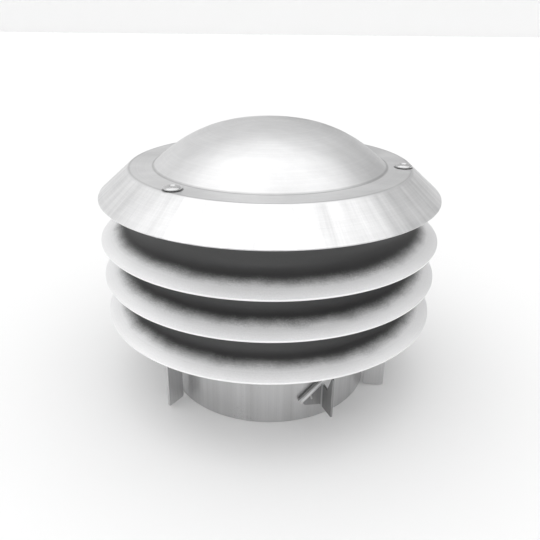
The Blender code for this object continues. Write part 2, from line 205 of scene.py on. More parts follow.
@dataclass(frozen=True)
class Aluminium:
    """Bare aluminium sheet, spun on a lathe or rolled.

    Attributes:
        slot: The record's material slot.
        work: How the sheet was worked.
        shade: Mean brightness of the metal.
        metal: Share of clean metal; the rest is a matt pale oxide.
        roughness: Mean roughness.
        cloud: How strongly broad cloudy patches change brightness.
        lines: Depth of the fine working lines.
        grain: Depth of the fine sand-like grain.
    """

    slot: str
    work: Working = Working.LATHE
    shade: float = 0.62
    metal: float = 0.75
    roughness: float = 0.42
    cloud: float = 0.10
    lines: float = 0.35
    grain: float = 0.3

    def masks(self, graph: Graph, shade: Value, radius: Value, turn: Value, point: Value) -> Value:
        """Darken or lighten the brightness in places; the plain sheet leaves it as it is.

        Args:
            graph: The material's graph.
            shade: The brightness so far.
            radius: Distance from the cowl's axis.
            turn: Turn about the axis.
            point: The Object coordinates.

        Returns:
            The new brightness.
        """
        return shade

    def material(self) -> bpy.types.Material:
        """Write the material.

        Returns:
            The material, made from nodes on Object coordinates.
        """
        material = bpy.data.materials.new(self.slot)
        graph = Graph(material)
        point = graph.place()
        x, y, z = graph.parts(point)
        radius = (x * x + y * y) ** 0.5
        turn = graph.add("ShaderNodeMath", {"operation": "ARCTAN2"}, {0: y, 1: x})
        clouds = graph.noise(point, 30.0, 3.0, 0.55)
        grain = graph.noise(point, 2400.0, 2.0, 0.7)
        if self.work is Working.LATHE:
            lines = graph.noise(graph.joined(radius * 1400.0, z * 1400.0, 0.0), 1.0, 2.0, 0.6)
        else:
            lines = graph.noise(graph.joined(x * 1100.0, y * 1100.0, z * 14.0), 1.0, 2.0, 0.6)
        shade = self.shade + (clouds - 0.5) * self.cloud + (grain - 0.5) * (0.25 * self.grain)
        shade = shade + (lines - 0.5) * (0.3 * self.lines)
        shade = self.masks(graph, shade, radius, turn, point).clamped()
        graph.feed(graph.surface.inputs["Base Color"], graph.blend(shade, BLACK, METAL_TINT))
        graph.surface.inputs["Metallic"].default_value = self.metal
        rough = self.roughness + (clouds - 0.5) * 0.12 + (grain - 0.5) * 0.10
        graph.feed(graph.surface.inputs["Roughness"], rough.clamped())
        height = lines * self.lines + grain * self.grain
        graph.feed(graph.surface.inputs["Normal"], graph.bump(height, 0.4, 0.00008))
        return material


@dataclass(frozen=True)
class CapAluminium(Aluminium):
    """The spun cap: cloudy dome, painted shade in the crease at its foot and along the shoulder's bend,
    painted shadow round the rivet heads, rays down the skirt and a painted lift of the skirt's brightness.

    Attributes:
        crease: Radius of the dome's foot.
        shoulder: Radius where the skirt starts.
        rivets: Places of the rivets, each with a ring of painted shadow round its head.
        patch_depth: How strongly the cloudy patches show.
        cloud_place: Middle of the one dark cloud.
        cloud_span: Distances where the cloud ends and where it is full.
        cloud_depth: How dark the cloud is.
        crease_shade_depth: How dark the painted shade in the crease is.
        bend_shade_depth: How dark the painted shade along the shoulder's bend is.
        shadow_ring_radius: Radius of the painted shadow round a rivet.
        shadow_ring_width: Half its width.
        shadow_ring_depth: How dark the painted shadow is.
        ray_depth: How strongly the skirt's rays show.
    """

    crease: float = 0.0528
    shoulder: float = 0.0638
    rivets: tuple[tuple[float, float], ...] = ()
    patch_depth: float = 0.30
    cloud_place: tuple[float, float] = (0.022, 0.026)
    cloud_span: tuple[float, float] = (0.036, 0.012)
    cloud_depth: float = 0.40
    crease_shade_depth: float = 0.22
    bend_shade_depth: float = 0.12
    shadow_ring_radius: float = 0.0038
    shadow_ring_width: float = 0.0007
    shadow_ring_depth: float = 0.7
    ray_depth: float = 0.50

    def masks(self, graph: Graph, shade: Value, radius: Value, turn: Value, point: Value) -> Value:
        """Add the cloudy patches, painted shade in the crease and along the shoulder's bend, painted shadow
        round the rivet heads, the rays and the skirt's painted lift.
        """
        x, y, z = graph.parts(point)
        patches = graph.noise(graph.joined(x * 34.0, y * 60.0, z * 34.0), 1.0, 4.0, 0.65)
        far = ((x - self.cloud_place[0]) ** 2.0 + (y - self.cloud_place[1]) ** 2.0) ** 0.5
        cloud = far.band(*self.cloud_span) * patches.band(0.30, 0.56)
        shade = shade + (patches - 0.5) * self.patch_depth - cloud * self.cloud_depth
        # Painted shade: the crease at the dome's foot and the shoulder's bend are darkened in the colour.
        shade = shade - radius.near(self.crease, 0.0009) * self.crease_shade_depth
        shade = shade - radius.near(self.shoulder - 0.0006, 0.0008) * self.bend_shade_depth
        # Painted shadow: a dark ring on the cap round each rivet head.
        for place_x, place_y in self.rivets:
            off = ((x - place_x) ** 2.0 + (y - place_y) ** 2.0) ** 0.5
            shade = shade * (1.0 - off.near(self.shadow_ring_radius, self.shadow_ring_width) * self.shadow_ring_depth)
        on_skirt = radius.band(self.shoulder, self.shoulder + 0.001)
        rays = graph.noise(graph.joined(turn * 15.0, radius * 10.0, 0.0), 1.0, 4.0, 0.65)
        # Painted light: the skirt's colour is lifted by 0.06 over the rest of the same spun sheet.
        return shade + on_skirt * ((rays - 0.5) * self.ray_depth + 0.06)


@dataclass(frozen=True)
class RingAluminium(Aluminium):
    """A louvre ring: pale flare, with painted shade darkening its throat.

    Attributes:
        clean: Radius beyond which the flare has no painted shade.
        dark: Radius within which the painted shade is full.
        throat_shade: How dark the painted shade in the throat is.
    """

    clean: float = 0.0738
    dark: float = 0.0672
    throat_shade: float = 0.90

    def masks(self, graph: Graph, shade: Value, radius: Value, turn: Value, point: Value) -> Value:
        """Paint shade, with a noisy edge, into the throat in the gap under the ring above."""
        # Painted shade: the throat's colour is darkened where the ring above shades it.
        edge = (graph.noise(point, 90.0, 3.0, 0.6) - 0.5) * 0.0035
        fine = (graph.noise(point, 2200.0, 2.0, 0.8) - 0.5) * 0.0040
        return shade * (1.0 - (radius + edge + fine).band(self.clean, self.dark) * self.throat_shade)


@dataclass(frozen=True)
class CollarAluminium(Aluminium):
    """The rolled collar: upright brushing and broad streaks.

    Attributes:
        streak_depth: How strongly the broad streaks show.
    """

    streak_depth: float = 0.35

    def masks(self, graph: Graph, shade: Value, radius: Value, turn: Value, point: Value) -> Value:
        """Add the broad upright streaks."""
        streaks = graph.noise(graph.joined(turn * 5.0, 0.3, 0.0), 1.0, 4.0, 0.6)
        return shade + (streaks - 0.5) * self.streak_depth


@dataclass(frozen=True)
class BracketAluminium(Aluminium):
    """The bracket, with a painted highlight along its hem.

    Attributes:
        hem: Radii between which the painted highlight on the hem's face starts.
        beyond: Radii between which it ends.
        hem_highlight: How much brighter the painted highlight is.
    """

    hem: tuple[float, float] = (0.0517, 0.0521)
    beyond: tuple[float, float] = (0.0529, 0.0538)
    hem_highlight: float = 0.45

    def masks(self, graph: Graph, shade: Value, radius: Value, turn: Value, point: Value) -> Value:
        """Paint a highlight along the hem."""
        # Painted highlight: the hem's face is lightened in the colour.
        return shade + radius.band(*self.hem) * (1.0 - radius.band(*self.beyond)) * self.hem_highlight


# --------------------------------------------------------------- mesh making

def flat(x: float, y: float) -> Vector:
    """A point of a flat outline."""
    return Vector((x, y))


def turned(point: Vector, turn: float) -> Vector:
    """A flat point turned about the origin by degrees."""
    return Matrix.Rotation(math.radians(turn), 2) @ point


def arc(centre: Vector, radius: float, start: float, end: float, steps: int) -> list[Vector]:
    """Points of a flat arc.

    Args:
        centre: The arc's centre.
        radius: Its radius.
        start: Turn of its first point.
        end: Turn of its last point.
        steps: Number of pieces.

    Returns:
        The points, first to last.
    """
    turns = [start + (end - start) * index / steps for index in range(steps + 1)]
    return [centre + turned(flat(radius, 0.0), turn) for turn in turns]


def round_corner(before: Vector, corner: Vector, after: Vector, radius: float, steps: int) -> list[Vector]:
    """Points of the arc that rounds one corner of a path.

    Args:
        before: The point before the corner.
        corner: The corner.
        after: The point after it.
        radius: The arc's radius.
        steps: Number of pieces.

    Returns:
        The arc's points.
    """
    to_before = (before - corner).normalized()
    to_after = (after - corner).normalized()
    half = to_before.angle(to_after) / 2
    centre = corner + (to_before + to_after).normalized() * (radius / math.sin(half))
    first = corner + to_before * (radius / math.tan(half)) - centre
    last = corner + to_after * (radius / math.tan(half)) - centre
    sweep = math.atan2(first.x * last.y - first.y * last.x, first.dot(last))
    return [centre + Matrix.Rotation(sweep * index / steps, 2) @ first for index in range(steps + 1)]


def offset_path(path: Sequence[Vector], distance: float) -> list[Vector]:
    """A path moved to its right, with mitred corners.

    Args:
        path: The points of the path.
        distance: How far it moves.

    Returns:
        As many points as the path has.
    """
    along = [(end - start).normalized() for start, end in zip(path, path[1:])]
    sides = [flat(step.y, -step.x) for step in along]
    moved = []
    for point, first, second in zip(path, [sides[0], *sides], [*sides, sides[-1]]):
        mitre = (first + second).normalized()
        moved.append(point + mitre * (distance / mitre.dot(first)))
    return moved


def lengths(path: Sequence[Vector]) -> list[float]:
    """How far along a path each of its points lies."""
    total = [0.0]
    for start, end in zip(path, path[1:]):
        total.append(total[-1] + (end - start).length)
    return total


def walk(path: Sequence[Vector], marks: Sequence[float], distance: float) -> Vector:
    """The point at a distance along a path, or on its straight end lines.

    Args:
        path: The points of the path.
        marks: Their distances, from lengths().
        distance: The distance walked.

    Returns:
        The point.
    """
    index = 0
    while index < len(path) - 2 and marks[index + 1] < distance:
        index += 1
    step = (path[index + 1] - path[index]).normalized()
    return path[index] + step * (distance - marks[index])


def spun(outline: Sequence[Vector], closed: bool, steps: int) -> bmesh.types.BMesh:
    """A body turned about Z.

    Args:
        outline: Its (radius, height) points.
        closed: True if the last point joins the first.
        steps: Facets of the full turn.

    Returns:
        The closed body.
    """
    shape = bmesh.new()
    corners = [shape.verts.new((point.x, 0.0, point.y)) for point in outline]
    pairs = list(zip(corners, corners[1:])) + ([(corners[-1], corners[0])] if closed else [])
    edges = [shape.edges.new(pair) for pair in pairs]
    bmesh.ops.spin(
        shape,
        geom=corners + edges,
        axis=(0, 0, 1),
        cent=(0, 0, 0),
        steps=steps,
        angle=math.tau,
        use_merge=True,
    )
    bmesh.ops.remove_doubles(shape, verts=shape.verts, dist=1e-6)
    bmesh.ops.recalc_face_normals(shape, faces=shape.faces)
    return shape


def prism(outline: Sequence[Vector], low: float, high: float) -> bmesh.types.BMesh:
    """A straight body over a flat outline.

    Args:
        outline: Its (x, y) points.
        low: Height of its bottom.
        high: Height of its top.

    Returns:
        The closed body.
    """
    shape = bmesh.new()
    base = shape.faces.new([shape.verts.new((point.x, point.y, low)) for point in outline])
    raised = bmesh.ops.extrude_face_region(shape, geom=[base])["geom"]
    moved = [item for item in raised if isinstance(item, bmesh.types.BMVert)]
    bmesh.ops.translate(shape, verts=moved, vec=(0.0, 0.0, high - low))
    bmesh.ops.recalc_face_normals(shape, faces=shape.faces)
    return shape


def soften(shape: bmesh.types.BMesh, width: float, segments: int = 2, sharp: float = 50.0) -> None:
    """Round off a body's sharp edges.

    Args:
        shape: The body.
        width: How far the rounding reaches from each edge.
        segments: Facets of the rounding.
        sharp: The least turn between faces, in degrees, that is rounded.
    """
    limit = math.radians(sharp)
    edges = [edge for edge in shape.edges if edge.is_manifold and edge.calc_face_angle() > limit]
    bmesh.ops.bevel(
        shape, geom=edges, offset=width, segments=segments, profile=0.5, affect="EDGES", material=-1
    )
    bmesh.ops.remove_doubles(shape, verts=shape.verts, dist=1e-7)


def joined(shapes: Sequence[bmesh.types.BMesh]) -> bmesh.types.BMesh:
    """Several bodies as one mesh; the given ones are freed."""
    whole = bmesh.new()
    for shape in shapes:
        mesh = bpy.data.meshes.new("part")
        shape.to_mesh(mesh)
        shape.free()
        whole.from_mesh(mesh)
        bpy.data.meshes.remove(mesh)
    return whole


def finished(
    name: str, shape: bmesh.types.BMesh, finish: bpy.types.Material, slot: str, *nodes: str
) -> None:
    """Make a piece from a body, dress it, and let it stand for its CAD nodes.

    Args:
        name: The piece's name.
        shape: The body, which is freed.
        finish: Its material.
        slot: The record's slot that the finish belongs to; not used.
        *nodes: The CAD nodes that it stands for.
    """
    mesh = bpy.data.meshes.new(name)
    shape.to_mesh(mesh)
    shape.free()
    mesh.materials.append(finish)
    mesh.shade_smooth()
    mesh.set_sharp_from_angle(angle=math.radians(40.0))
    piece = bpy.data.objects.new(name, mesh)
    bpy.context.scene.collection.objects.link(piece)
    even = piece.modifiers.new("even_shading", "WEIGHTED_NORMAL")
    even.keep_sharp = True
    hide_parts(*nodes)
    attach(piece, "root")
    log.info("%s: %d faces, in place of %s", name, len(mesh.polygons), ", ".join(nodes))


@dataclass
class BentSheet:
    """A flat blank that is bent up into its finished shape.

    Attributes:
        blank: The flat outline, as (distance along the plan, height) points.
        plan: The line that the sheet's middle follows, seen from above.
        sheet: Thickness of the sheet.
        rise: The line that its height follows, as (side, height) points, or none.
        ears: Low and high edge of each ear; only there the sheet follows the plan.
        web: Distances of the flat web's two edges, or none if all of it follows the plan.
    """

    blank: list[Vector]
    plan: list[Vector]
    sheet: float
    rise: list[Vector] | None = None
    ears: tuple[tuple[float, float], ...] = ()
    web: tuple[float, float] | None = None

    def in_ear(self, height: float) -> bool:
        """True if a height lies in one of the ears."""
        return any(low - 1e-6 <= height <= high + 1e-6 for low, high in self.ears)

    def placed(self, point: Vector, marks: Sequence[float]) -> Vector:
        """Where a point of the blank goes.

        Args:
            point: The point of the blank.
            marks: The plan's distances.

        Returns:
            The point of the bent sheet.
        """
        distance, height = point.x, point.y
        if self.web and not self.in_ear(height):
            first, last = (walk(self.plan, marks, mark) for mark in self.web)
            spot = first + (last - first).normalized() * (distance - self.web[0])
        else:
            spot = walk(self.plan, marks, distance)
        if self.rise:
            over = walk(self.rise, lengths(self.rise), height)
            return Vector((spot.x, spot.y + over.x, over.y))
        return Vector((spot.x, spot.y, height))

    def build(self) -> bmesh.types.BMesh:
        """Cut the blank where it bends, bend it, and give it its thickness.

        Returns:
            The bent sheet.
        """
        shape = bmesh.new()
        shape.faces.new([shape.verts.new((point.x, point.y, 0.0)) for point in self.blank])
        marks = lengths(self.plan)
        cuts = [((mark, 0.0, 0.0), (1.0, 0.0, 0.0)) for mark in marks[1:-1]]
        levels = [level for ear in self.ears for level in ear]
        levels += lengths(self.rise)[1:-1] if self.rise else []
        cuts += [((0.0, level, 0.0), (0.0, 1.0, 0.0)) for level in levels]
        for point, normal in cuts:
            geometry = shape.verts[:] + shape.edges[:] + shape.faces[:]
            bmesh.ops.bisect_plane(shape, geom=geometry, dist=1e-7, plane_co=point, plane_no=normal)
        for vert in shape.verts:
            vert.co = self.placed(Vector(vert.co.xy), marks)
        shape.normal_update()
        for vert, shift in [(vert, vert.normal * (self.sheet / 2)) for vert in shape.verts]:
            vert.co += shift
        bmesh.ops.solidify(shape, geom=shape.faces[:], thickness=self.sheet)
        bmesh.ops.recalc_face_normals(shape, faces=shape.faces)
        return shape


# -------------------------------------------------------------- sub-assemblies

@dataclass
class Cap:
    """The spun cap: a dome, a flat shoulder and a sloping skirt."""

    sheet: float = 0.0010
    skirt_width: float = 0.0138
    skirt_drop: float = 0.0120
    shoulder_width: float = 0.0110
    shoulder_bend: float = 0.0009
    dome_bend: float = 0.0010
    dome_fullness: float = 2.55
    dome_steps: int = 44

    def __post_init__(self) -> None:
        """Read the cap's outer sizes from the frame."""
        low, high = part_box("cap_shell")
        slope = math.atan2(self.skirt_drop, self.skirt_width)
        self.rim = flat(high.x, low.z + self.sheet * math.cos(slope))
        self.shoulder = self.rim + flat(-self.skirt_width, self.skirt_drop)
        self.foot = self.shoulder - flat(self.shoulder_width, 0.0)
        self.rise = high.z - self.shoulder.y

    def outline(self) -> list[Vector]:
        """The cap's outer face from crown to rim."""
        dome = []
        for index in range(self.dome_steps):
            share = index / self.dome_steps
            height = self.foot.y + self.rise * (1.0 - share ** self.dome_fullness)
            dome.append(flat(self.foot.x * share, height))
        path = dome + round_corner(dome[-1], self.foot, self.shoulder, self.dome_bend, 5)
        return path + round_corner(self.foot, self.shoulder, self.rim, self.shoulder_bend, 6) + [self.rim]

    def build(self, finish: "Aluminium") -> None:
        """Build and dress the cap."""
        outer = self.outline()
        inner = offset_path(outer, self.sheet)
        inner[0] = flat(0.0, outer[0].y - self.sheet)
        shape = spun(outer + inner[::-1], False, FULL_TURN_STEPS)
        soften(shape, 0.00022)
        finished("spun_cap", shape, finish.material(), finish.slot, "cap_shell")


@dataclass
class LouvreRing:
    """A louvre ring: a wide flare that turns up into an upright neck."""

    level: str
    sheet: float = 0.0010
    flare_width: float = 0.0151
    flare_slope: float = 22.0
    throat: float = 0.0060

    def build(self, slot: str, material: bpy.types.Material) -> None:
        """Build and dress the ring."""
        node = "louvre_ring_" + self.level
        low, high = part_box(node)
        slope = math.radians(self.flare_slope)
        rim = flat(high.x, low.z + self.sheet * math.cos(slope))
        top = flat(rim.x - self.flare_width, high.z)
        corner = flat(top.x, rim.y + self.flare_width * math.tan(slope))
        outer = [top, *round_corner(top, corner, rim, self.throat, 14), rim]
        inner = offset_path(outer, self.sheet)
        inner[0].y = top.y
        shape = spun(outer + inner[::-1], True, FULL_TURN_STEPS)
        soften(shape, 0.00022)
        finished("flared_ring_" + self.level, shape, material, slot, node)


@dataclass
class Collar:
    """The short tube, with the tongue that holds the bracket."""

    radius: float = 0.0500
    sheet: float = 0.0010
    tongue_size: tuple[float, float] = (0.0007, 0.0028)
    tongue_reach: float = 0.0020
    tongue_side: float = -0.0004
    tongue_height: float = 0.0130
    tongue_tilt: float = 17.0

    def tube(self) -> bmesh.types.BMesh:
        """The tube itself."""
        low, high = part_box("collar")
        inner = self.radius - self.sheet
        corners = [(self.radius, high.z), (self.radius, low.z), (inner, low.z), (inner, high.z)]
        return spun([flat(*corner) for corner in corners], True, FULL_TURN_STEPS)

    def tongue(self) -> bmesh.types.BMesh:
        """The tongue pushed out of the tube's wall."""
        width, height = self.tongue_size
        corners = [(-width, -height), (width, -height), (width, height), (-width, height)]
        shape = prism([flat(x / 2, y / 2) for x, y in corners], -self.sheet / 2, self.tongue_reach)
        upright = Matrix(((0, 0, 1, 0), (1, 0, 0, 0), (0, 1, 0, 0), (0, 0, 0, 1)))
        spot = Matrix.Translation((self.radius, self.tongue_side, self.tongue_height))
        tilt = Matrix.Rotation(math.radians(self.tongue_tilt), 4, "X")
        heading = Matrix.Rotation(math.radians(Bracket.heading), 4, "Z")
        bmesh.ops.transform(shape, matrix=heading @ spot @ tilt @ upright, verts=shape.verts)
        return shape

    def build(self, finish: "Aluminium") -> None:
        """Build and dress the collar."""
        tube, tongue = self.tube(), self.tongue()
        soften(tube, 0.00022)
        soften(tongue, 0.00012)
        finished("rolled_collar", joined([tube, tongue]), finish.material(), finish.slot, "collar")


@dataclass
class Leg:
    """One upright strip with ears for the rings and the collar and a tab for the cap."""

    side: str
    heading: float
    sheet: float = 0.0010
    offset: float = 0.0159
    inner: float = 0.0520
    outer: float = 0.0613
    collar_seat: float = 0.0503
    bend: float = 0.0011
    ear_length: float = 0.0088
    ear_height: float = 0.0060
    foot_ear: tuple[float, float] = (0.0275, 0.0365)
    relief: float = 0.0004
    corner: float = 0.0010
    rivet_radius: float = 0.0599
    tab_radius: float = 0.0034
    tab_reach: float = 0.0123

    def along(self, radius: float) -> float:
        """How far along the web a radius lies."""
        return math.sqrt(radius ** 2 - self.offset ** 2)

    def ear_arc(self, radius: float) -> list[Vector]:
        """The curved middle line of an ear, from the web outwards."""
        start = -math.degrees(math.asin(self.offset / radius))
        end = start + math.degrees(self.ear_length / radius)
        return arc(Vector((0.0, 0.0)), radius, start, end, 12)

    def plan(self) -> list[Vector]:
        """The sheet's middle line: foot ear, web, ring ear."""
        foot = self.ear_arc(self.collar_seat + self.sheet / 2)
        ring = self.ear_arc(self.outer)
        first = round_corner(foot[4], foot[0], ring[0], self.bend, 6)
        second = round_corner(foot[0], ring[0], ring[4], self.bend, 6)
        return foot[:3:-1] + first + second + ring[4:]

    def rise(self, top: float) -> list[Vector]:
        """The line that the sheet's height follows: upright, then over."""
        corner = flat(0.0, top - self.sheet / 2)
        far = corner + flat(self.tab_reach + self.tab_radius, 0.0)
        return [flat(0.0, 0.0), *round_corner(flat(0.0, 0.0), corner, far, self.bend, 8), far]

    def blank(
        self,
        web: tuple[float, float],
        ends: tuple[float, float],
        bends: tuple[float, float],
        foot: float,
        rise: list[Vector],
        rings: list[tuple[float, float]],
    ) -> list[Vector]:
        """The leg's flat outline.

        Args:
            web: Distances of the web's two edges.
            ends: Distances of the ends of the foot ear and of the ring ears.
            bends: Distances where the two ears start to bend.
            foot: Height of the bottom edge.
            rise: The line that the height follows.
            rings: Low and high edge of each ring ear.

        Returns:
            The outline.
        """
        left, right = web
        points = round_corner(flat(left, 1.0), flat(left, foot), flat(right, foot), self.corner, 5)
        points += round_corner(flat(left, foot), flat(right, foot), flat(right, 1.0), self.corner / 4, 3)
        for low, high in rings:
            points += [flat(right, low - self.relief), flat(bends[1], low - self.relief), flat(bends[1], low)]
            points += round_corner(flat(left, low), flat(ends[1], low), flat(ends[1], high), self.corner, 4)
            points += round_corner(flat(ends[1], low), flat(ends[1], high), flat(left, high), self.corner, 4)
            points += [flat(bends[1], high), flat(bends[1], high + self.relief)]
            points.append(flat(right, high + self.relief))
        bend_start = lengths(rise)[1]
        over = lengths(rise)[-2] - bend_start - self.bend
        centre_height = bend_start + over + self.tab_reach
        shift = left - self.along(self.inner)
        side = self.tab_reach - self.offset
        centre = flat(math.sqrt(self.rivet_radius ** 2 - side ** 2) + shift, centre_height)
        points += [flat(right, bend_start), flat(right, bend_start + 2 * self.bend)]
        points += arc(centre, self.tab_radius, -30.0, 180.0, 14)
        points += [flat(left, bend_start + 2 * self.bend), flat(left, bend_start)]
        low, high = self.foot_ear
        points += [flat(left, high + self.relief), flat(bends[0], high + self.relief), flat(bends[0], high)]
        points += round_corner(flat(right, high), flat(ends[0], high), flat(ends[0], low), self.corner, 4)
        points += round_corner(flat(ends[0], high), flat(ends[0], low), flat(right, low), self.corner, 4)
        points += [flat(bends[0], low), flat(bends[0], low - self.relief), flat(left, low - self.relief)]
        return points

    def build(self, slot: str, material: bpy.types.Material) -> None:
        """Build and dress the leg."""
        node = "leg_" + self.side
        low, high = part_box(node)
        plan = self.plan()
        marks = lengths(plan)
        start = next(mark for mark, point in zip(marks, plan) if point.y < -self.offset + 1e-6)
        web_start = start + self.along(self.inner) - walk(plan, marks, start).x
        web = (web_start, web_start + self.along(self.outer) - self.along(self.inner))
        on_web = [mark for mark, point in zip(marks, plan) if point.y < -self.offset + 1e-6]
        bends = (start + 0.0001, max(on_web))
        rings = []
        for level in ("lower", "middle", "upper"):
            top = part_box("louvre_ring_" + level)[1].z
            rings.append((top - self.ear_height, top))
        rise = self.rise(high.z)
        outline = self.blank(web, (0.0, marks[-1]), bends, low.z, rise, rings)
        sheet = BentSheet(outline, plan, self.sheet, rise, (self.foot_ear, *rings), web)
        shape = sheet.build()
        soften(shape, 0.00013, 2, 60.0)
        turn = Matrix.Rotation(math.radians(self.heading), 4, "Z")
        bmesh.ops.transform(shape, matrix=turn, verts=shape.verts)
        finished("upright_leg_" + self.side, shape, material, slot, node)


@dataclass
class Rivet:
    """A set blind rivet: a low head with the hollow that its pin left."""

    shank: float
    head: float
    rise: float
    grip: float = 0.0023
    gap: float = 0.0003
    hollow_share: float = 0.42
    hollow_depth: float = 0.0006
    tail_flare: float = 0.0007
    tail_length: float = 0.0016

    def outline(self) -> list[Vector]:
        """The rivet's side view, from the hollow round to the tail's end."""
        base, floor = self.gap, self.gap + self.rise - self.hollow_depth
        lip = self.hollow_share * self.head
        path = [flat(0.0, floor + 0.00012), flat(lip * 0.45, floor), flat(lip * 0.82, floor + 0.00010)]
        start = math.degrees(math.asin(self.hollow_share))
        for index in range(9):
            lean = math.radians(start + (90.0 - start) * index / 8)
            path.append(flat(self.head * math.sin(lean), base + self.rise * (0.25 + 0.75 * math.cos(lean))))
        path += [flat(self.head - 0.0001, base), flat(self.shank, base), flat(self.shank, -self.grip - base)]
        path.append(flat(self.shank + self.tail_flare, -self.grip - base - self.tail_length / 3))
        tail_end = -self.grip - base - self.tail_length
        path += [flat(self.shank, tail_end), flat(0.0, tail_end)]
        return path

    def build(self, node: str, place: Matrix, slot: str, material: bpy.types.Material) -> None:
        """Build and dress one rivet.

        Args:
            node: The CAD node that it stands for.
            place: Turns +Z to the rivet's axis, at the outer face of the sheets.
            slot: The record's slot.
            material: Its finish.
        """
        shape = spun(self.outline(), False, RIVET_STEPS)
        soften(shape, 0.00010, 2, 60.0)
        bmesh.ops.transform(shape, matrix=place, verts=shape.verts)
        finished("blind_" + node, shape, material, slot, node)


@dataclass
class Bracket:
    """The folded bracket on the collar: a hemmed flange and a notched fin."""

    heading: float = -67.4
    sheet: float = 0.0010
    seat: float = 0.0503
    reach: float = 0.0613
    fold_side: float = 0.0056
    flange_width: float = 0.0095
    flange_lift: float = 0.0019
    flange_corner: float = 0.0016
    bend: float = 0.0009
    hem_width: float = 0.0015
    hem_thickness: float = 0.0026
    hem_tail: float = 0.0034
    hem_slope: float = 39.0
    hem_rise: float = 0.0150
    notch_rise: float = 0.0112
    inner_rise: float = 0.0124
    horn_rise: float = 0.0198
    horn_width: float = 0.0010

    def plan(self) -> list[Vector]:
        """The sheet's middle line: flange, fold, fin."""
        out = self.seat + self.sheet / 2
        side = self.fold_side - self.sheet / 2
        start = flat(out, self.fold_side - self.flange_width)
        corner, end = flat(out, side), flat(self.reach, side)
        return [start, *round_corner(start, corner, end, self.bend, 8), end]

    def blank(self, foot: float, marks: list[float]) -> list[Vector]:
        """The bracket's flat outline.

        Args:
            foot: Height of its bottom edge.
            marks: Distances along the plan.

        Returns:
            The outline.
        """
        slope = math.tan(math.radians(self.hem_slope))
        fold, end = (marks[1] + marks[-2]) / 2, marks[-1]
        notch = (marks[-2] + end) / 2
        hem = foot + self.hem_rise
        start = flat(0.0, foot + self.flange_lift)
        points = round_corner(flat(0.0, 1.0), start, flat(fold, foot), self.flange_corner, 5)
        points += [flat(fold, foot), flat(end, foot), flat(end, foot + self.horn_rise)]
        points += [flat(end - self.horn_width, foot + self.horn_rise), flat(notch, foot + self.notch_rise)]
        points += [flat(fold + 0.0003, foot + self.inner_rise), flat(fold, foot + self.inner_rise + 0.0003)]
        return points + [flat(fold, hem), flat(0.0, hem - self.flange_width * slope)]

    def hem(self, foot: float) -> bmesh.types.BMesh:
        """The folded band along the flange's slanting edge."""
        slope = math.radians(self.hem_slope)
        along, across = flat(math.cos(slope), math.sin(slope)), flat(-math.sin(slope), math.cos(slope))
        top = flat(self.fold_side, foot + self.hem_rise)
        low = top - along * (self.flange_width / along.x + self.hem_tail)
        outline = [low - across * self.hem_width, top - across * self.hem_width, top, low]
        shape = prism(outline, self.seat, self.seat + self.hem_thickness)
        upright = Matrix(((0, 0, 1, 0), (1, 0, 0, 0), (0, 1, 0, 0), (0, 0, 0, 1)))
        bmesh.ops.transform(shape, matrix=upright, verts=shape.verts)
        soften(shape, 0.0004, 4)
        return shape

    def build(self, finish: "Aluminium") -> None:
        """Build and dress the bracket."""
        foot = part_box("collar_bracket")[0].z
        plan = self.plan()
        sheet = BentSheet(self.blank(foot, lengths(plan)), plan, self.sheet).build()
        soften(sheet, 0.00013, 2, 60.0)
        shape = joined([sheet, self.hem(foot)])
        turn = Matrix.Rotation(math.radians(self.heading), 4, "Z")
        bmesh.ops.transform(shape, matrix=turn, verts=shape.verts)
        finished("folded_bracket", shape, finish.material(), finish.slot, "collar_bracket")


@dataclass
class Rivets:
    """All the rivets, in their places on the legs."""

    leg: Leg
    headings: dict[str, float]
    shank: tuple[float, float] = (0.0019, 0.0014)
    head: tuple[float, float] = (0.0037, 0.0026)
    rise: tuple[float, float] = (0.0014, 0.0010)
    gap: float = 0.0003

    def facing(self, turn: float, radius: float, height: float) -> Matrix:
        """Place whose +Z points away from the axis."""
        spin = Matrix.Rotation(math.radians(turn), 4, "Z")
        tilt = Matrix.Rotation(math.radians(90.0), 4, "Y")
        return spin @ Matrix.Translation((radius, 0.0, height)) @ tilt

    def ear_turn(self, web_radius: float, ear_radius: float) -> float:
        """Turn of an ear's rivet from its leg's heading."""
        web = -math.degrees(math.asin(self.leg.offset / web_radius))
        return web + math.degrees(self.leg.ear_length * 0.55 / ear_radius)

    def build(self, slot: str, material: bpy.types.Material) -> None:
        """Build and dress the fifteen rivets."""
        leg = self.leg
        big = Rivet(self.shank[0], self.head[0], self.rise[0])
        small = Rivet(self.shank[1], self.head[1], self.rise[1], hollow_depth=0.0004)
        across = leg.tab_reach - leg.offset
        along = math.sqrt(leg.rivet_radius ** 2 - across ** 2)
        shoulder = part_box("leg_right")[1].z + leg.sheet + self.gap
        neck_seat = leg.outer + leg.sheet / 2 + self.gap + leg.sheet
        for side, heading in self.headings.items():
            spin = Matrix.Rotation(math.radians(heading), 4, "Z")
            place = spin @ Matrix.Translation((along, across, shoulder))
            big.build("cap_rivet_" + side, place, slot, material)
            low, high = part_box("collar_rivet_" + side)
            turn = heading + self.ear_turn(leg.collar_seat + leg.sheet, leg.collar_seat)
            place = self.facing(turn, leg.collar_seat + leg.sheet, (low.z + high.z) / 2)
            small.build("collar_rivet_" + side, place, slot, material)
            for level in ("lower", "middle", "upper"):
                node = "ring_rivet_" + side + "_" + level
                low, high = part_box(node)
                turn = heading + self.ear_turn(leg.outer, leg.outer + leg.sheet / 2)
                small.build(node, self.facing(turn, neck_seat, (low.z + high.z) / 2), slot, material)


# -------------------------------------------------------------------- studio

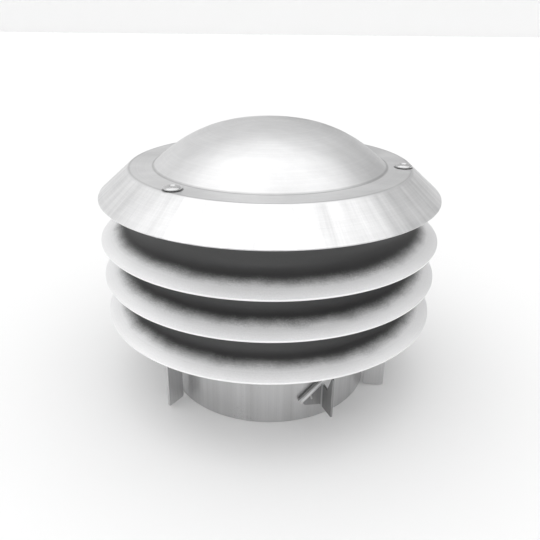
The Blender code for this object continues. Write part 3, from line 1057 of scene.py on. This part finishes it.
@dataclass
class Studio:
    """Pale floor, soft light and the camera.

    Attributes:
        eye: Place of the camera.
        pitch: How far it looks down, in degrees.
        roll: How far it is rolled.
        yaw: How far it is turned about Z.
        lens: Its focal length in millimetres.
        floor_size: Side of the floor.
        floor_turn_up: Height of the floor's turned-up edges.
        surround: Mean brightness of the surround.
        fall_to_right: How much darker the surround gets towards +X.
        light: Strength of the soft light.
        light_spread: Its apparent width in degrees.
        light_from: The direction that it comes from.
    """

    eye: tuple[float, float, float] = (0.0, -0.2530, 0.16906)
    pitch: float = 24.486
    roll: float = 0.592
    yaw: float = -0.098
    lens: float = 37.08
    floor_size: float = 12.0
    floor_turn_up: float = 0.6
    surround: float = 0.58
    fall_to_right: float = 0.24
    light: float = 1.95
    light_spread: float = 105.0
    light_from: tuple[float, float, float] = (0.02, -0.30, 1.0)

    def floor(self) -> None:
        """A wide pale floor just under the collar, turned up at its far edges."""
        shape = bmesh.new()
        half, turn_up = self.floor_size / 2, self.floor_turn_up
        corners = [(-half, -half, 0.0), (half, -half, 0.0), (half, half, 0.0), (-half, half, 0.0)]
        base = shape.faces.new([shape.verts.new(corner) for corner in corners])
        raised = bmesh.ops.extrude_edge_only(shape, edges=base.edges[:])["geom"]
        moved = [item for item in raised if isinstance(item, bmesh.types.BMVert)]
        bmesh.ops.translate(shape, verts=moved, vec=(0.0, 0.0, turn_up))
        bmesh.ops.translate(shape, verts=shape.verts, vec=(0.0, 0.0, -FLOOR_GAP))
        mesh = bpy.data.meshes.new("floor")
        shape.to_mesh(mesh)
        shape.free()
        plane = bpy.data.objects.new("floor", mesh)
        bpy.context.scene.collection.objects.link(plane)
        material = bpy.data.materials.new("floor_paint")
        graph = Graph(material)
        graph.surface.inputs["Base Color"].default_value = (0.88, 0.88, 0.88, 1.0)
        graph.surface.inputs["Roughness"].default_value = 0.9
        mesh.materials.append(material)

    def lights(self) -> None:
        """One very soft light from above and in front, and an even surround."""
        world = bpy.data.worlds.new("surround")
        world.use_nodes = True
        tree = world.node_tree
        place = tree.nodes.new("ShaderNodeTexCoord")
        parts = tree.nodes.new("ShaderNodeSeparateXYZ")
        slope = tree.nodes.new("ShaderNodeMath")
        slope.operation = "MULTIPLY_ADD"
        slope.inputs[1].default_value = -self.fall_to_right
        slope.inputs[2].default_value = self.surround
        tree.links.new(place.outputs["Generated"], parts.inputs[0])
        tree.links.new(parts.outputs["X"], slope.inputs[0])
        tree.links.new(slope.outputs[0], tree.nodes["Background"].inputs["Strength"])
        tree.nodes["Background"].inputs["Color"].default_value = (1.0, 1.0, 1.0, 1.0)
        bpy.context.scene.world = world
        bpy.context.scene.view_settings.view_transform = "Standard"
        data = bpy.data.lights.new("soft_light", "SUN")
        data.energy = self.light
        data.angle = math.radians(self.light_spread)
        lamp = bpy.data.objects.new("soft_light", data)
        lamp.rotation_euler = Vector(self.light_from).to_track_quat("Z", "Y").to_euler()
        bpy.context.scene.collection.objects.link(lamp)

    def camera(self) -> None:
        """A camera a little above, in front."""
        data = bpy.data.cameras.new("camera")
        data.lens = self.lens
        data.sensor_width = 36.0
        eye = bpy.data.objects.new("camera", data)
        eye.location = self.eye
        tilt = Matrix.Rotation(math.radians(90.0 - self.pitch), 4, "X")
        roll = Matrix.Rotation(math.radians(self.roll), 4, "Z")
        yaw = Matrix.Rotation(math.radians(self.yaw), 4, "Z")
        eye.rotation_euler = (yaw @ tilt @ roll).to_euler()
        bpy.context.scene.collection.objects.link(eye)
        bpy.context.scene.camera = eye


def main() -> None:
    """Build every piece, dress it, and set up the studio."""
    logging.basicConfig(level=logging.INFO, format="%(message)s")
    rivets = []
    for side in ("right", "rear", "left"):
        low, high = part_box("cap_rivet_" + side)
        rivets.append(((low.x + high.x) / 2, (low.y + high.y) / 2))
    Cap().build(CapAluminium("cap_metal", shade=0.70, rivets=tuple(rivets)))
    ring_metal = RingAluminium("ring_metal", shade=0.95, metal=0.50, roughness=0.5, grain=0.9).material()
    for level in ("upper", "middle", "lower"):
        LouvreRing(level).build("ring_metal", ring_metal)
    collar_metal = CollarAluminium(
        "collar_metal", work=Working.ROLLED, shade=0.56, roughness=0.30, metal=0.85
    )
    Collar().build(collar_metal)
    headings = {"right": -4.9, "rear": 115.1, "left": 235.1}
    leg_metal = Aluminium("leg_metal", work=Working.ROLLED, shade=0.58, roughness=0.40).material()
    for side, heading in headings.items():
        Leg(side, heading).build("leg_metal", leg_metal)
    rivet_metal = Aluminium("rivet_metal", roughness=0.25, lines=0.0).material()
    Rivets(Leg("right", 0.0), headings).build("rivet_metal", rivet_metal)
    Bracket().build(BracketAluminium("bracket_metal", work=Working.ROLLED, shade=0.30))
    studio = Studio()
    studio.floor()
    studio.lights()
    studio.camera()


if __name__ == "__main__":
    main()
